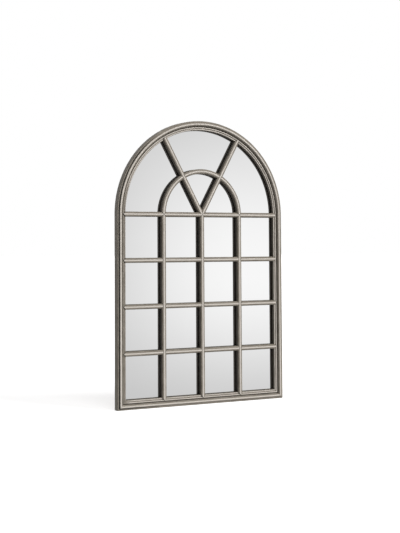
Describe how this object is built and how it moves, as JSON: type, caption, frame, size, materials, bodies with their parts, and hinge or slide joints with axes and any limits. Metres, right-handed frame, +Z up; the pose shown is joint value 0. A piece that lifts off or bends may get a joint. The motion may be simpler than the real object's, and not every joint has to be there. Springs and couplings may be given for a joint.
{
  "type": "window mirror",
  "caption": "Arched wall mirror made like a sash window: a moulded frame, a lattice of rounded glazing bars with an inner arch and two diagonals, and recessed ring hangers.",
  "frame": {"origin": "on the wall plane, at the foot of the frame, half way across", "axes": "+X right as seen from the front, +Z up, front faces -Y, the wall is at y = 0 on the +Y side"},
  "size_m": [0.6, 0.025, 0.9],
  "materials": {
    "frame_finish": "antique silver paint over wood, rubbed light on the crests and dark in the grooves",
    "bar_finish": "antique silver paint over wood, rubbed light on the crests",
    "joint_wood": "bare beech",
    "mirror_glass": "clear silvered float glass",
    "hardboard": "brown hardboard, screen texture at the back",
    "steel": "zinc plated",
    "brass_plate": "brass plated, dull",
    "ring_steel": "nickel plated wire"
  },
  "bodies": {
    "frame": {"stile_left": "frame_finish", "stile_right": "frame_finish", "bottom_rail": "frame_finish", "arch_left": "frame_finish", "arch_right": "frame_finish", "frame_tongues": "joint_wood", "upright_left": "bar_finish", "upright_centre": "bar_finish", "upright_right": "bar_finish", "cross_bar_1a": "bar_finish", "cross_bar_1b": "bar_finish", "cross_bar_1c": "bar_finish", "cross_bar_1d": "bar_finish", "cross_bar_2a": "bar_finish", "cross_bar_2b": "bar_finish", "cross_bar_2c": "bar_finish", "cross_bar_2d": "bar_finish", "cross_bar_3a": "bar_finish", "cross_bar_3b": "bar_finish", "cross_bar_3c": "bar_finish", "cross_bar_3d": "bar_finish", "cross_bar_4a": "bar_finish", "cross_bar_4b": "bar_finish", "cross_bar_4c": "bar_finish", "cross_bar_4d": "bar_finish", "inner_arch_left": "bar_finish", "inner_arch_crown": "bar_finish", "inner_arch_right": "bar_finish", "diagonal_left": "bar_finish", "diagonal_right": "bar_finish", "bar_dowels": "joint_wood", "mirror_glass": "mirror_glass", "backing_board": "hardboard", "retaining_points": "steel", "hanger_strap_left": "brass_plate", "hanger_strap_right": "brass_plate", "hanger_screws": "steel"},
    "ring_left": {"hanger_ring_left": "ring_steel"},
    "ring_right": {"hanger_ring_right": "ring_steel"}
  },
  "joints": [
    {"name": "left_ring_swing", "type": "hinge", "parent": "frame", "child": "ring_left", "pos_m": [-0.2898, -0.00322, 0.56], "axis": [1, 0, 0], "range_deg": [0, 180]},
    {"name": "right_ring_swing", "type": "hinge", "parent": "frame", "child": "ring_right", "pos_m": [0.2898, -0.00322, 0.56], "axis": [1, 0, 0], "range_deg": [0, 180]}
  ]
}
